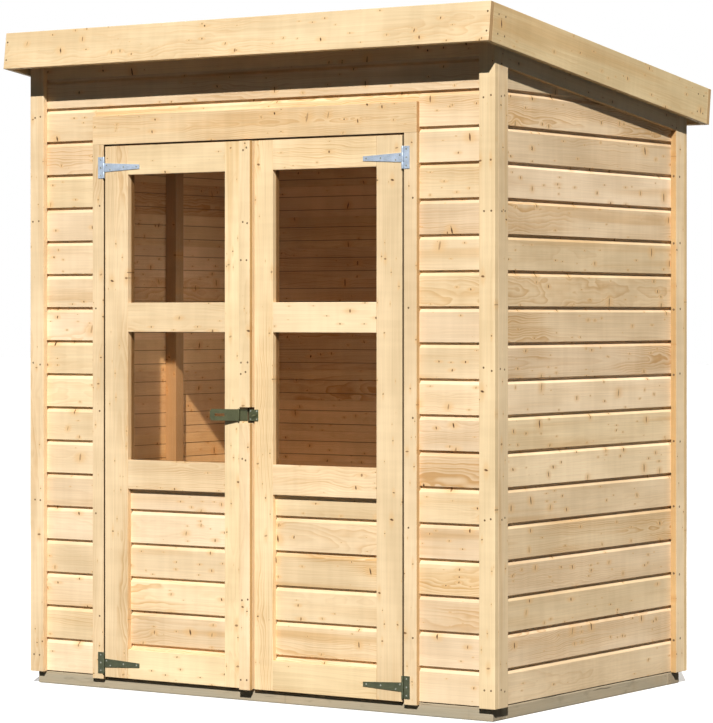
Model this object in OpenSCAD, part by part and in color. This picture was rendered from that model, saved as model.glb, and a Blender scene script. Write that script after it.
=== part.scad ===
// Garden shed of unpainted softwood with a pent roof and a glazed pair of doors.
// Millimetres, +Z up. The origin is on the ground, in the middle of the roof's outline on plan.
// Lengths along Y are counted from the front faces of the corner boards.

/* [Walls] */
// Width over the corner boards
wall_w = 1833; // [1600:1:2600]
// Depth over the corner boards
wall_d = 1238; // [900:1:2000]
// Thickness of a cladding board
board_t = 19; // [14:1:28]
// Height that one cladding board covers
board_pitch = 111; // [80:1:140]
// Height of the board between the door boards and the frieze
upper_board_h = 98; // [70:1:110]
// Depth of the chamfer along a board's upper edge
chamfer_d = 8.5; // [4:0.5:9]
// Height of the chamfer along a board's upper edge
chamfer_h = 10.4; // [6:0.1:12]
// Height of the open gap between a chamfer and the lip of the board above
joint_gap = 7; // [3:0.5:8]
// Height of that lip above the level where the boards meet
lip_rise = 3.4; // [1:0.1:5]
// Width of a corner board
corner_w = 57; // [45:1:80]
// Thickness of the corner boards and eaves rails
trim_t = 20; // [15:1:28]
// Side of a stud
stud_w = 45; // [35:1:70]
// Distance of a side wall's stud behind the middle of the wall
side_stud_back = 76; // [0:1:100]
// Depth of the eaves rail along a side wall
rail_h = 146; // [100:1:180]

/* [Base and floor] */
// Height of the bearers
base_h = 40; // [30:1:80]
// Width of a bearer
bearer_w = 80; // [75:1:140]
// Thickness of the floor boards
floor_t = 19; // [14:1:28]
// Number of floor joists
joist_n = 3; // [2:1:5]
// Width of a floor joist
joist_w = 45; // [35:1:70]

/* [Roof] */
// Fall of the roof towards the rear, in degrees
roof_pitch = 7.2; // [4:0.1:12]
// Overhang of the fascia's lower edge at the front
front_overhang = 97; // [60:1:200]
// Overhang of the fascia's lower edge at the rear
rear_overhang = 91; // [60:1:200]
// Overhang of the fascia at each side
side_overhang = 36.5; // [25:0.5:120]
// Height of the front fascia's lower edge above the door header
eave_rise = 164; // [120:1:260]
// Depth of the fascia boards
fascia_h = 122; // [100:1:180]
// Thickness of the fascia boards
fascia_t = 19; // [14:1:28]
// Height of the fascia's upper edge above the felt
fascia_lip = 6; // [2:1:20]
// Thickness of the roof boards
deck_t = 19; // [14:1:28]
// Thickness of the roofing felt
felt_t = 3; // [2:0.5:6]
// Number of purlins
purlin_n = 2; // [1:1:4]
// Width of a purlin
purlin_w = 45; // [35:1:70]
// Depth of a purlin
purlin_h = 70; // [50:1:100]

/* [Door frame] */
// Width of the doorway between the jambs
door_w = 1188; // [1100:1:1300]
// Distance of the doorway's middle from the wall's middle
door_x = -10.25; // [-60:0.25:60]
// Width of a jamb
jamb_w = 47; // [40:1:60]
// Depth of the jambs and the header
jamb_d = 60; // [55:1:70]
// Height that the jambs hang down in front of the base
jamb_toe = 8; // [4:1:20]
// Height of the header
header_h = 96; // [70:1:110]
// How far the jambs, header and doors stand proud of the cladding
frame_proud = 16; // [8:1:18]
// Width of the door stop on a jamb
stop_w = 12; // [8:1:20]
// Gap between a leaf and the stop or the sill
stop_gap = 6; // [5:0.5:8]

/* [Door leaves] */
// Height of a leaf
leaf_h = 1756; // [1650:1:1900]
// Thickness of a leaf
leaf_t = 36; // [30:1:40]
// Gap beside the hinges and over a leaf
hinge_gap = 6; // [5:0.5:8]
// Gap between the two leaves
meet_gap = 6.5; // [6:0.5:10]
// Width of a hinge stile
stile_w = 96; // [70:1:120]
// Distance from the doorway's middle to a pane
meet_w = 95; // [80:1:110]
// Height of a rail
rail_w = 96; // [80:1:110]
// Height of a pane
pane_h = 421.5; // [350:0.5:450]
// Depth of the panes and the boarded panel behind the leaf's face
recess = 17; // [8:1:17]
// Thickness of a pane
glass_t = 4; // [3:0.5:6]
// Width of the cover strip over the meeting line
strip_w = 42.5; // [36:0.5:60]
// Thickness of the cover strip
strip_t = 16; // [10:1:20]
// Distance of the cover strip's middle to the left of the doorway's middle
strip_off = 5.5; // [0:0.5:8]
// Height that the cover strip hangs below the leaves
strip_drop = 3; // [0:1:10]

/* [Hinges] */
// Distance of an upper hinge below the leaf's top edge
hinge_drop = 70; // [50:1:80]
// Distance of a lower hinge above the leaf's bottom edge
hinge_rise = 46; // [40:1:60]
// Height of a hinge on the jamb
hinge_h = 70; // [60:1:75]
// Width of a hinge plate on the jamb
plate_w = 25; // [20:1:30]
// Thickness of the hinge plates
plate_t = 2.5; // [2:0.5:3]
// Length of a strap
strap_l = 148; // [110:1:200]
// Height of a strap at its knuckle
strap_root = 29; // [24:1:36]
// Height of a strap at its tip
strap_tip = 14; // [10:1:20]
// Radius of a hinge knuckle
knuckle_r = 3.5; // [3.5:0.1:4.5]
// Radius of a hinge pin
pin_r = 1.75; // [1.5:0.05:2]
// Clearance of the pin and between knuckles
pin_gap = 0.3; // [0.2:0.05:0.5]

/* [Hasp] */
// Height of the hasp's middle above the ground
hasp_z = 917; // [860:1:1000]
// Height of the hasp's plates
hasp_h = 37; // [30:1:42]
// Width of the hasp's fixed plate
hasp_w = 33; // [28:1:40]
// Thickness of the hasp's plates
hasp_t = 2; // [1.5:0.5:3]
// Length of the hasp's flap
flap_l = 100; // [80:1:120]
// Angle of the flap from the leaf's face, in degrees
flap_a = 14; // [8:1:40]
// Clipped corner of the flap's end
flap_clip = 6; // [2:1:10]
// Length of the slot in the flap
slot_l = 34; // [32:1:40]
// Height of the slot in the flap
slot_h = 9; // [8:0.5:12]
// Distance of the slot's middle from the flap's end
slot_in = 34; // [26:1:44]
// Radius of the hasp's knuckle
flap_r = 3; // [2.5:0.5:4]
// Height that each end of the hasp's pin stands out of its knuckle
flap_pin_out = 2; // [1:0.5:4]
// Width of the staple's plate
staple_w = 35.5; // [30:0.5:42]
// Distance of the staple's plate from the doorway's middle
staple_in = 3; // [2:0.5:6]
// Inner radius of the staple's eye
eye_r = 9; // [7:0.5:11]
// Radius of the staple's rod
rod_r = 2.5; // [2:0.25:3]

/* [Hidden] */
$fn = 48;

pine = "#e8cd98";
weathered = "#a0967f";
felt_grey = "#4b4b49";
pane_grey = "#8a9a9a";
zinc = "#98a2a8";

// Left and right as signs along X
left = -1;
right = 1;
// Room that a cut runs past the faces it opens
over = 1;

half_w = wall_w / 2;
// Planes of the cladding's outer and inner faces, counted inwards from the corner boards
clad_out = trim_t;
clad_in = trim_t + board_t;
stud_in = clad_in + stud_w;
clad_x = half_w - clad_out;
room_x = half_w - clad_in;

face_y = trim_t - frame_proud;
leaf_back = face_y + leaf_t;
stop_y = leaf_back + stop_gap;
frame_back = face_y + jamb_d;

leaf_z = base_h;
leaf_top = leaf_z + leaf_h;
header_z = leaf_top + hinge_gap;
header_top = header_z + header_h;
panel_h = leaf_h - 4 * rail_w - 2 * pane_h;
lower_rail_z = leaf_z + rail_w + panel_h;
mid_rail_z = lower_rail_z + rail_w + pane_h;
top_rail_z = mid_rail_z + rail_w + pane_h;
rail_zs = [leaf_z, lower_rail_z, mid_rail_z, top_rail_z];
pane_zs = [lower_rail_z + rail_w, mid_rail_z + rail_w];

// First board joint above the header, where the wall over the doors begins
over_z = base_h + ceil((header_top - base_h) / board_pitch) * board_pitch;
frieze_z = over_z + upper_board_h;

eave_z = header_top + eave_rise;
roof_w = wall_w + 2 * side_overhang;
roof_len = (front_overhang + wall_d + rear_overhang) / cos(roof_pitch);
deck_v = fascia_h - fascia_lip - felt_t - deck_t;
// A height that is above every wall before the roof trims it
wall_top = eave_z + fascia_h;
plan_mid = (wall_d + rear_overhang + fascia_h * sin(roof_pitch) - front_overhang) / 2;

jamb_x = door_w / 2;
strip_x = door_x - strip_off;
meet_left = strip_x + strip_w / 2;
meet_right = meet_left + meet_gap;
hinge_zs = [leaf_z + hinge_rise, leaf_top - hinge_drop];
pin_y = face_y - knuckle_r;

staple_x = door_x + staple_in;
notch_x = staple_x - meet_gap;
hasp_low = hasp_z - hasp_h / 2;
hasp_high = hasp_z + hasp_h / 2;
notch_low = hasp_low - meet_gap;
notch_high = hasp_high + meet_gap;
flap_pin_h = hasp_h + 2 * flap_pin_out;

// Places on a leaf, by its side
function leaf_edge(side) = door_x + side * (jamb_x - hinge_gap);
function pane_out(side) = leaf_edge(side) - side * stile_w;
function pane_in(side) = door_x + side * meet_w;
function pin_x(side) = door_x + side * (jamb_x - hinge_gap / 2);

// Levels at a board joint: the lip of the upper board, the top and the foot of the lower board's chamfer
function lip(z) = z + lip_rise;
function ledge(z) = lip(z) - joint_gap;
function chamfer_foot(z) = ledge(z) - chamfer_h;

// Heights of the board joints between two levels
function joints(low, high) = [
    for (n = [1 : ceil((high - base_h) / board_pitch)])
        let (z = base_h + n * board_pitch)
        if (chamfer_foot(z) > low && lip(z) < high) z
];

// Moves a piece from the front faces of the walls to the part's own origin
module placed(tint) {
    color(tint) translate([0, -plan_mid, 0]) children();
}

// Lies along the roof: Y runs down the slope from the front fascia's lower edge, Z stands square on it
module on_slope() {
    translate([0, -front_overhang, eave_z]) rotate([-roof_pitch, 0, 0]) children();
}

// Trims what reaches above the underside of the roof boards
module below_deck() {
    difference() {
        children();
        on_slope() translate([-roof_w, -roof_len, deck_v]) cube([2 * roof_w, 3 * roof_len, roof_len]);
    }
}

// Straight piece between two corners
module timber(x0, x1, y0, y1, z0, z1) {
    translate([min(x0, x1), y0, z0]) cube([abs(x1 - x0), y1 - y0, z1 - z0]);
}

// Cladding along +X with its jointed face looking to -Y
module cladding(length, low, high, joint_zs) {
    grooves = [
        for (z = joint_zs)
            each [[0, chamfer_foot(z)], [chamfer_d, ledge(z)], [chamfer_d, lip(z)], [0, lip(z)]]
    ];
    outline = concat([[board_t, high], [board_t, low], [0, low]], grooves, [[0, high]]);
    rotate([90, 0, 90]) linear_extrude(length) polygon(outline);
}

module base_front_bearer() {
    placed(weathered) difference() {
        timber(-clad_x, clad_x, clad_out, clad_out + bearer_w, 0, base_h);
        timber(door_x - jamb_x, door_x + jamb_x, clad_out - over, stop_y, base_h - stop_gap, base_h + over);
    }
}

module base_rear_bearer() {
    rear = wall_d - clad_out;
    placed(weathered) timber(-clad_x, clad_x, rear - bearer_w, rear, 0, base_h);
}

module base_side_bearer(side) {
    front = clad_out + bearer_w;
    placed(weathered) timber(side * (clad_x - bearer_w), side * clad_x, front, wall_d - front, 0, base_h);
}

module base_left_bearer() {
    base_side_bearer(left);
}

module base_right_bearer() {
    base_side_bearer(right);
}

module floor_joists() {
    front = clad_out + bearer_w;
    span = 2 * (clad_x - bearer_w);
    for (n = [1 : joist_n]) {
        x = -span / 2 + n * span / (joist_n + 1);
        placed(weathered) timber(x - joist_w / 2, x + joist_w / 2, front, wall_d - front, 0, base_h);
    }
}

module floor_boards() {
    placed(pine) timber(-room_x, room_x, stud_in, wall_d - stud_in, base_h, base_h + floor_t);
}

// Two boards that lap at a corner: one faces the front or rear, the other the side
module corner_boards(side, rear) {
    placed(pine) below_deck() {
        y0 = rear ? wall_d - trim_t : 0;
        y1 = rear ? wall_d - trim_t - corner_w : trim_t;
        timber(side * (half_w - corner_w), side * half_w, y0, y0 + trim_t, base_h, wall_top);
        timber(side * (half_w - trim_t), side * half_w, y1, y1 + corner_w, base_h, wall_top);
    }
}

module corner_front_left() {
    corner_boards(left, false);
}

module corner_front_right() {
    corner_boards(right, false);
}

module corner_rear_left() {
    corner_boards(left, true);
}

module corner_rear_right() {
    corner_boards(right, true);
}

module corner_studs() {
    for (side = [left, right], y = [clad_in, wall_d - stud_in])
        placed(pine) below_deck()
            timber(side * (room_x - stud_w), side * room_x, y, y + stud_w, base_h, wall_top);
}

// Studs that stand on the floor against the side walls
module side_studs() {
    y = wall_d / 2 + side_stud_back;
    for (side = [left, right])
        placed(pine) below_deck()
            timber(side * (room_x - stud_w), side * room_x, y, y + stud_w, base_h + floor_t, wall_top);
}

module front_panel(x0, x1) {
    placed(pine) translate([x0, clad_out, 0]) cladding(x1 - x0, base_h, over_z, joints(base_h, over_z));
}

module front_wall_left() {
    front_panel(-clad_x, door_x - jamb_x - jamb_w);
}

module front_wall_right() {
    front_panel(door_x + jamb_x + jamb_w, clad_x);
}

module front_wall_over_door() {
    frame_x = jamb_x + jamb_w;
    placed(pine) {
        below_deck() translate([-clad_x, clad_out, 0]) cladding(2 * clad_x, over_z, wall_top, [frieze_z]);
        timber(door_x - frame_x, door_x + frame_x, clad_out, clad_in, header_top, over_z);
    }
}

module side_wall(side) {
    length = wall_d - 2 * clad_in;
    start = side == right ? clad_in : wall_d - clad_in;
    placed(pine) below_deck()
        translate([side * clad_x, start, 0]) rotate([0, 0, side * 90])
            cladding(length, base_h, wall_top, joints(base_h, wall_top));
}

module left_wall() {
    side_wall(left);
}

module right_wall() {
    side_wall(right);
}

module rear_wall() {
    placed(pine) below_deck()
        translate([clad_x, wall_d - clad_out, 0]) rotate([0, 0, 180])
            cladding(2 * clad_x, base_h, wall_top, joints(base_h, wall_top));
}

// Rebated jamb: the stop stands into the doorway behind the leaf
module jamb(side) {
    inner = door_x + side * jamb_x;
    outer = inner + side * jamb_w;
    placed(pine) {
        timber(inner, outer, face_y, frame_back, base_h, header_z);
        timber(inner - side * stop_w, inner, stop_y, frame_back, base_h, header_z);
        timber(inner, outer, face_y, clad_out, base_h - jamb_toe, base_h);
    }
}

module left_jamb() {
    jamb(left);
}

module right_jamb() {
    jamb(right);
}

module door_header() {
    frame_x = jamb_x + jamb_w;
    placed(pine) timber(door_x - frame_x, door_x + frame_x, face_y, frame_back, header_z, header_top);
}

// Sloping board that closes the side wall under the roof, between the corner boards
module eaves_rail(side) {
    ends = trim_t + corner_w;
    inner = side == right ? half_w - trim_t : -half_w;
    placed(pine) intersection() {
        on_slope() translate([inner, 0, deck_v - rail_h]) cube([trim_t, roof_len, rail_h]);
        timber(-half_w, half_w, ends, wall_d - ends, 0, wall_top);
    }
}

module left_eaves_rail() {
    eaves_rail(left);
}

module right_eaves_rail() {
    eaves_rail(right);
}

module purlins() {
    for (n = [1 : purlin_n]) {
        u = n * roof_len / (purlin_n + 1);
        placed(pine) on_slope() timber(
            -room_x, room_x, u - purlin_w / 2, u + purlin_w / 2, deck_v - purlin_h, deck_v
        );
    }
}

// Sheet over the whole roof inside the fascia boards
module roof_layer(v, thickness) {
    x = roof_w / 2 - fascia_t;
    on_slope() timber(-x, x, fascia_t, roof_len - fascia_t, v, v + thickness);
}

module roof_deck() {
    placed(pine) roof_layer(deck_v, deck_t);
}

module roof_felt() {
    placed(felt_grey) roof_layer(deck_v + deck_t, felt_t);
}

// Front and rear fascia boards lap over the ends of the side ones
module cross_fascia(u) {
    placed(pine) on_slope() timber(-roof_w / 2, roof_w / 2, u, u + fascia_t, 0, fascia_h);
}

module side_fascia(side) {
    outer = side * roof_w / 2;
    placed(pine) on_slope() timber(outer - side * fascia_t, outer, fascia_t, roof_len - fascia_t, 0, fascia_h);
}

module front_fascia() {
    cross_fascia(0);
}

module rear_fascia() {
    cross_fascia(roof_len - fascia_t);
}

module left_fascia() {
    side_fascia(left);
}

module right_fascia() {
    side_fascia(right);
}

// Puts a hinge on its pin, turned over on the right so that the jamb is on its far side
module at_pin(side, z) {
    translate([pin_x(side), pin_y, z]) rotate([0, side == right ? 180 : 0, 0]) children();
}

// Jamb half of a T-hinge: plate, two end knuckles and the pin
module jamb_hinge() {
    room = strap_root + 2 * pin_gap;
    end_h = (hinge_h - room) / 2;
    difference() {
        timber(-plate_w, 0, knuckle_r - plate_t, knuckle_r, -hinge_h / 2, hinge_h / 2);
        timber(-knuckle_r - pin_gap, over, -knuckle_r, knuckle_r + over, -room / 2, room / 2);
    }
    for (z = [-hinge_h / 2, room / 2])
        translate([0, 0, z]) cylinder(r = knuckle_r, h = end_h);
    translate([0, 0, -hinge_h / 2]) cylinder(r = pin_r, h = hinge_h);
}

// Leaf half of a T-hinge: tapered strap and the middle knuckle
module strap() {
    taper = [[0, -strap_root / 2], [strap_l, -strap_tip / 2], [strap_l, strap_tip / 2], [0, strap_root / 2]];
    difference() {
        union() {
            translate([0, knuckle_r, 0]) rotate([90, 0, 0]) linear_extrude(plate_t) polygon(taper);
            translate([0, 0, -strap_root / 2]) cylinder(r = knuckle_r, h = strap_root);
        }
        translate([0, 0, -strap_root]) cylinder(r = pin_r + pin_gap, h = 2 * strap_root);
    }
}

module jamb_hinges() {
    for (side = [left, right], z = hinge_zs)
        placed(zinc) at_pin(side, z) jamb_hinge();
}

module straps(side) {
    for (z = hinge_zs)
        placed(zinc) at_pin(side, z) strap();
}

module hinge_stile(side) {
    placed(pine) timber(leaf_edge(side), pane_out(side), face_y, leaf_back, leaf_z, leaf_top);
}

module leaf_rails(side) {
    for (z = rail_zs)
        placed(pine) timber(pane_out(side), pane_in(side), face_y, leaf_back, z, z + rail_w);
}

// Short boards in the lower part of a leaf, in line with the wall's boards
module leaf_panel(side) {
    low = leaf_z + rail_w;
    start = min(pane_out(side), pane_in(side));
    width = abs(pane_out(side) - pane_in(side));
    placed(pine) translate([start, face_y + recess, 0])
        cladding(width, low, lower_rail_z, joints(low, lower_rail_z));
}

module leaf_panes(side) {
    y = face_y + recess;
    for (z = pane_zs)
        placed(pane_grey) timber(pane_out(side), pane_in(side), y, y + glass_t, z, z + pane_h);
}

module left_door_hinge_stile() {
    hinge_stile(left);
}

// The notch lets the other leaf's staple through when this leaf opens alone
module left_door_meeting_stile() {
    placed(pine) difference() {
        timber(pane_in(left), meet_left, face_y, leaf_back, leaf_z, leaf_top);
        timber(notch_x, meet_left + over, face_y - over, leaf_back + over, notch_low, notch_high);
    }
}

module left_door_rails() {
    leaf_rails(left);
}

module left_door_panel() {
    leaf_panel(left);
}

module left_door_panes() {
    leaf_panes(left);
}

module left_door_straps() {
    straps(left);
}

// Strip over the meeting line, cut away at the hasp
module cover_strip() {
    x = strip_w / 2;
    for (span = [[leaf_z - strip_drop, notch_low], [notch_high, leaf_top]])
        placed(pine) timber(strip_x - x, strip_x + x, face_y - strip_t, face_y, span[0], span[1]);
}

// Fixed plate, knuckle and the flap, swung back from the staple
module hasp() {
    slot_x = -flap_l + slot_in;
    flap = [
        [0, -hasp_h / 2], [0, hasp_h / 2], [flap_clip - flap_l, hasp_h / 2], [-flap_l, hasp_h / 2 - flap_clip],
        [-flap_l, flap_clip - hasp_h / 2], [flap_clip - flap_l, -hasp_h / 2]
    ];
    placed(zinc) {
        timber(notch_x - hasp_w, notch_x, face_y - hasp_t, face_y, hasp_low, hasp_high);
        translate([notch_x - hasp_w, face_y - hasp_t / 2 - flap_r, hasp_z]) {
            translate([0, 0, -flap_pin_h / 2]) cylinder(r = flap_r, h = flap_pin_h);
            rotate([0, 0, flap_a]) difference() {
                translate([0, hasp_t / 2, 0]) rotate([90, 0, 0]) linear_extrude(hasp_t) polygon(flap);
                timber(
                    slot_x - slot_l / 2, slot_x + slot_l / 2, -hasp_t - over, hasp_t + over, -slot_h / 2, slot_h / 2
                );
            }
        }
    }
}

module right_door_hinge_stile() {
    hinge_stile(right);
}

module right_door_meeting_stile() {
    placed(pine) timber(meet_right, pane_in(right), face_y, leaf_back, leaf_z, leaf_top);
}

module right_door_rails() {
    leaf_rails(right);
}

module right_door_panel() {
    leaf_panel(right);
}

module right_door_panes() {
    leaf_panes(right);
}

module right_door_straps() {
    straps(right);
}

// Plate on the right leaf with an eye for the flap's slot
module staple() {
    plate_y = face_y - hasp_t;
    placed(zinc) {
        timber(staple_x, staple_x + staple_w, plate_y, face_y, hasp_low, hasp_high);
        translate([staple_x + staple_w / 2, plate_y + hasp_t / 2, hasp_z]) rotate([0, 0, 180])
            rotate_extrude(angle = 180) translate([eye_r + rod_r, 0]) circle(r = rod_r);
    }
}

base_front_bearer();
base_rear_bearer();
base_left_bearer();
base_right_bearer();
floor_joists();
floor_boards();
corner_front_left();
corner_front_right();
corner_rear_left();
corner_rear_right();
corner_studs();
side_studs();
front_wall_left();
front_wall_right();
front_wall_over_door();
left_wall();
right_wall();
rear_wall();
left_jamb();
right_jamb();
door_header();
left_eaves_rail();
right_eaves_rail();
purlins();
roof_deck();
roof_felt();
front_fascia();
rear_fascia();
left_fascia();
right_fascia();
jamb_hinges();
left_door_hinge_stile();
left_door_meeting_stile();
left_door_rails();
left_door_panel();
left_door_panes();
left_door_straps();
cover_strip();
hasp();
right_door_hinge_stile();
right_door_meeting_stile();
right_door_rails();
right_door_panel();
right_door_panes();
right_door_straps();
staple();
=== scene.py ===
import math
import random

import bmesh
import bpy
from mathutils import Matrix, Vector


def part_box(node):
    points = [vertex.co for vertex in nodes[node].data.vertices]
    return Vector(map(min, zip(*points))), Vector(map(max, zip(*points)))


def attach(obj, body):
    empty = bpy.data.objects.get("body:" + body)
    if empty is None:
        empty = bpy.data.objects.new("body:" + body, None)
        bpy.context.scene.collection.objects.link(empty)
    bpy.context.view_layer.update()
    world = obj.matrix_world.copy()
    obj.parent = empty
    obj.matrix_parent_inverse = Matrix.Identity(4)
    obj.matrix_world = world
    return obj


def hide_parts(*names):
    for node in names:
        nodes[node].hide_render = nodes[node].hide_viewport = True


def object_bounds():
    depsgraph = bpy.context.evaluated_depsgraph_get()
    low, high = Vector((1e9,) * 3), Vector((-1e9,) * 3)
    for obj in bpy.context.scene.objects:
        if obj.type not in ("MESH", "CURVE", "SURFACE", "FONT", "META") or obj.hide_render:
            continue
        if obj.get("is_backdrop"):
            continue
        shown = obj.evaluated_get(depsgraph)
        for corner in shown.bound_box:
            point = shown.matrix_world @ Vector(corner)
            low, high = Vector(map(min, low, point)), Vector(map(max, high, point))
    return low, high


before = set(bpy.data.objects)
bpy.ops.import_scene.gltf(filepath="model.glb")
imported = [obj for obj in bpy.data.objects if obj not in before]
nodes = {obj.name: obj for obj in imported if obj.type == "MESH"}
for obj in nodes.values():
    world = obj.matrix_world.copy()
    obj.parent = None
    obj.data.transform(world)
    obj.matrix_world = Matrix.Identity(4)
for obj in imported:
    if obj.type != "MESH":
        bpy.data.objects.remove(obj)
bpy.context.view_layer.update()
scene = bpy.context.scene
scene.view_settings.view_transform = "Standard"
print("frame loaded:", len(nodes), "CAD nodes")


def rgba(colour):
    return (*colour, 1.0)


# a node tree with short calls for the nodes that are used most
class Sheet:
    def __init__(self, tree):
        self.tree = tree

    def add(self, kind, inputs=None, **settings):
        node = self.tree.nodes.new(kind)
        for key, value in settings.items():
            setattr(node, key, value)
        self.fill(node, inputs or {})
        return node

    def fill(self, node, inputs):
        for key, value in inputs.items():
            self.feed(node.inputs[key], value)

    def feed(self, socket, value):
        # takes a plain value, a socket or a node, whose first output is meant
        if isinstance(value, bpy.types.Node):
            value = value.outputs[0]
        if isinstance(value, bpy.types.NodeSocket):
            self.tree.links.new(value, socket)
        elif value is not None:
            socket.default_value = value

    def finish(self, kind, value):
        self.feed(self.tree.nodes[kind + " Output"].inputs[0], value)

    def calc(self, operation, a, b=None, c=None, clamp=False):
        return self.add("ShaderNodeMath", {0: a, 1: b, 2: c}, operation=operation, use_clamp=clamp)

    def times(self, a, b):
        return self.calc("MULTIPLY", a, b)

    def minus(self, a, b):
        return self.calc("SUBTRACT", a, b)

    def over(self, a, b):
        return self.calc("DIVIDE", a, b)

    def mulAdd(self, a, b, c, clamp=False):
        return self.calc("MULTIPLY_ADD", a, b, c, clamp)

    def hypot(self, a, b):
        return self.calc("SQRT", self.calc("ADD", self.times(a, a), self.times(b, b)))

    def ramp(self, value, fromLow, fromHigh, toLow=0.0, toHigh=1.0, kind="SMOOTHSTEP"):
        inputs = {0: value, 1: fromLow, 2: fromHigh, 3: toLow, 4: toHigh}
        return self.add("ShaderNodeMapRange", inputs, interpolation_type=kind)

    def blend(self, share, a, b, mode="MIX"):
        a, b = (rgba(part) if isinstance(part, tuple) else part for part in (a, b))
        node = self.add("ShaderNodeMix", {0: share, 6: a, 7: b}, data_type="RGBA", blend_type=mode)
        return node.outputs[2]

    def vec(self, x, y, z):
        return self.add("ShaderNodeCombineXYZ", {0: x, 1: y, 2: z})

    def split(self, vector):
        return self.add("ShaderNodeSeparateXYZ", {0: vector}).outputs[:]

    def scaled(self, vector, factors):
        return self.add("ShaderNodeVectorMath", {0: vector, 1: factors}, operation="MULTIPLY")

    def cloud(self, vector, scale, detail=2.0, rough=0.5):
        inputs = {"Vector": vector, "Scale": scale, "Detail": detail, "Roughness": rough}
        return self.add("ShaderNodeTexNoise", inputs).outputs["Fac"]

    def cells(self, vector, scale, **settings):
        # the cells and three even draws for each
        node = self.add("ShaderNodeTexVoronoi", {"Vector": vector, "Scale": scale}, **settings)
        return node.outputs, self.add("ShaderNodeSeparateColor", {0: node.outputs["Color"]}).outputs[:]

    def attribute(self, name, output="Fac"):
        return self.add("ShaderNodeAttribute", attribute_name=name).outputs[output]

    def place(self):
        return self.add("ShaderNodeTexCoord").outputs["Object"]

    def relief(self, height, look):
        inputs = {"Height": height, "Strength": look["bump"], "Distance": look["bumpDeep"]}
        return self.add("ShaderNodeBump", inputs)

    def random(self, kind, low, high, seed):
        first, out = {"FLOAT_VECTOR": (0, 0), "FLOAT": (2, 1)}[kind]
        inputs = {first: low, first + 1: high, 8: seed}
        return self.add("FunctionNodeRandomValue", inputs, data_type=kind).outputs[out]

    def store(self, geometry, name, kind, value):
        inputs = {"Geometry": geometry, "Name": name, "Value": value}
        return self.add("GeometryNodeStoreNamedAttribute", inputs, data_type=kind, domain="INSTANCE")

    def close(self, geometry):
        whole = self.add("GeometryNodeRealizeInstances", {"Geometry": geometry})
        inputs = {"Geometry": whole, "Material": self.given["Finish"]}
        self.add("NodeGroupOutput", {"Geometry": self.add("GeometryNodeSetMaterial", inputs)})


def newMaterial(name):
    material = bpy.data.materials.new(name)
    material.use_nodes = True
    return material, Sheet(material.node_tree), material.node_tree.nodes["Principled BSDF"]


# spruce, sawn and planed: rings round a pith line, fibres, knots
# grain is (along, across, through) in metres on each stick, shift and tone differ from stick to stick
spruce = {
    "early": (0.93, 0.735, 0.520), "late": (0.66, 0.40, 0.185), "streak": (0.73, 0.475, 0.24),
    "knotRim": (0.23, 0.118, 0.050), "knotLive": (0.25, 0.130, 0.055), "knotDead": (0.075, 0.039, 0.017),
    "halo": (0.77, 0.47, 0.205), "pinkTone": (1.0, 0.963, 0.915), "goldTone": (0.99, 0.958, 0.83),
    # paintedShadeTone is painted shade in gaps, grooves and behind the glass
    # sawnAndShadeTone darkens the narrow sides, partly the sawn wood's own tone and partly painted shade
    "endTone": (0.62, 0.52, 0.42), "sawnAndShadeTone": (0.60, 0.50, 0.36), "paintedShadeTone": (0.050, 0.031, 0.014),
    "ring": 0.0052, "contrast": 0.60, "bend": 0.042, "taper": 0.018, "swirl": 0.034, "haloBend": 0.005,
    "pithSide": 0.15, "pithBack": 0.11, "pithLeast": 0.015, "streaks": 0.75, "darkest": 0.87, "palest": 1.03,
    "haloShare": 0.50, "spike": 1.0, "ragScale": 150.0, "rag": 0.8, "rough": 0.62, "gloss": 0.18,
    "smoother": 0.07, "rougher": 0.1, "bump": 0.22, "bumpDeep": 0.0008, "grey": 0.0,
    "ringRise": 1.35, "ringFall": 6.0, "figureLow": 0.35, "figureHigh": 2.2, "figureTint": 0.2,
    "leastStreak": 0.2, "warmGreen": 1.12, "warmBlue": 1.35, "ringHigh": 0.45, "fibreHigh": 0.75,
    "heartLow": 0.5,
}
# grey timber: silver between two tones, dark checks and dirt
silverLook = {
    "dark": (0.33, 0.285, 0.200), "pale": (0.455, 0.405, 0.308), "check": (0.10, 0.08, 0.05),
    "dirt": (0.15, 0.125, 0.08),
}
# marks: changes per metre along and across the grain, then detail and roughness
marks = {
    "slow": (0.9, 4.0), "quick": (6.0, 15.0), "patch": (1.8, 8.0), "fibre": (3.0, 260.0, 3.0, 0.6),
    "band": (0.8, 19.0, 2.0, 0.55), "blotch": (3.2, 9.0), "ripple": (34.0, 1.5), "silver": (2.0, 14.0, 3.0),
    "check": (4.0, 110.0), "dirt": (9.0, 22.0, 4.0),
}
# from one pair of values to another, 0 and 1 where there is no second pair
ranges = {
    "sawnClear": (0.0, 0.3, 1.0, 0.3), "knotShare": (0.0, 0.7, 0.55, 1.0), "knot": (1.35, 0.7),
    "heart": (0.95, 0.45), "halo": (1.9, 0.2), "dead": (0.6, 0.8), "patch": (0.40, 0.64, 0.18, 1.0),
    "ringShare": (0.0, 1.0, 0.35, 1.0), "band": (0.52, 0.74), "blotch": (0.3, 0.7, 0.90, 1.05),
    "fibre": (0.25, 0.75, 0.92, 1.06, "LINEAR"), "ripple": (0.3, 0.7, 0.975, 1.02),
    "silver": (0.3, 0.75, 0.7, 1.0), "check": (0.66, 0.72, 0.0, 0.8), "dirt": (0.58, 0.78, 0.0, 0.6),
    "sheen": (0.2, 0.8),
}
# factors that turn a stick's one draw into others
drawSteps = {"pithSide": 7.31, "pithBack": 5.17, "figure": 1.37, "streaks": 2.13, "level": 3.77}
# knots: cells per metre along and across the grain, share of cells that hold one, largest radius and length
branchKnot = {"along": 8.5, "across": 10.0, "chance": 0.66, "radius": 0.0034, "power": 0.7, "stretch": 3.6}
pinKnot = {"along": 21.0, "across": 26.0, "chance": 0.28, "radius": 0.0022, "power": 0.8, "stretch": 1.6}
knotForm = {"least": 0.00002, "lean": 0.5, "stainLong": 0.15, "stainWide": 0.7}


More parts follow.
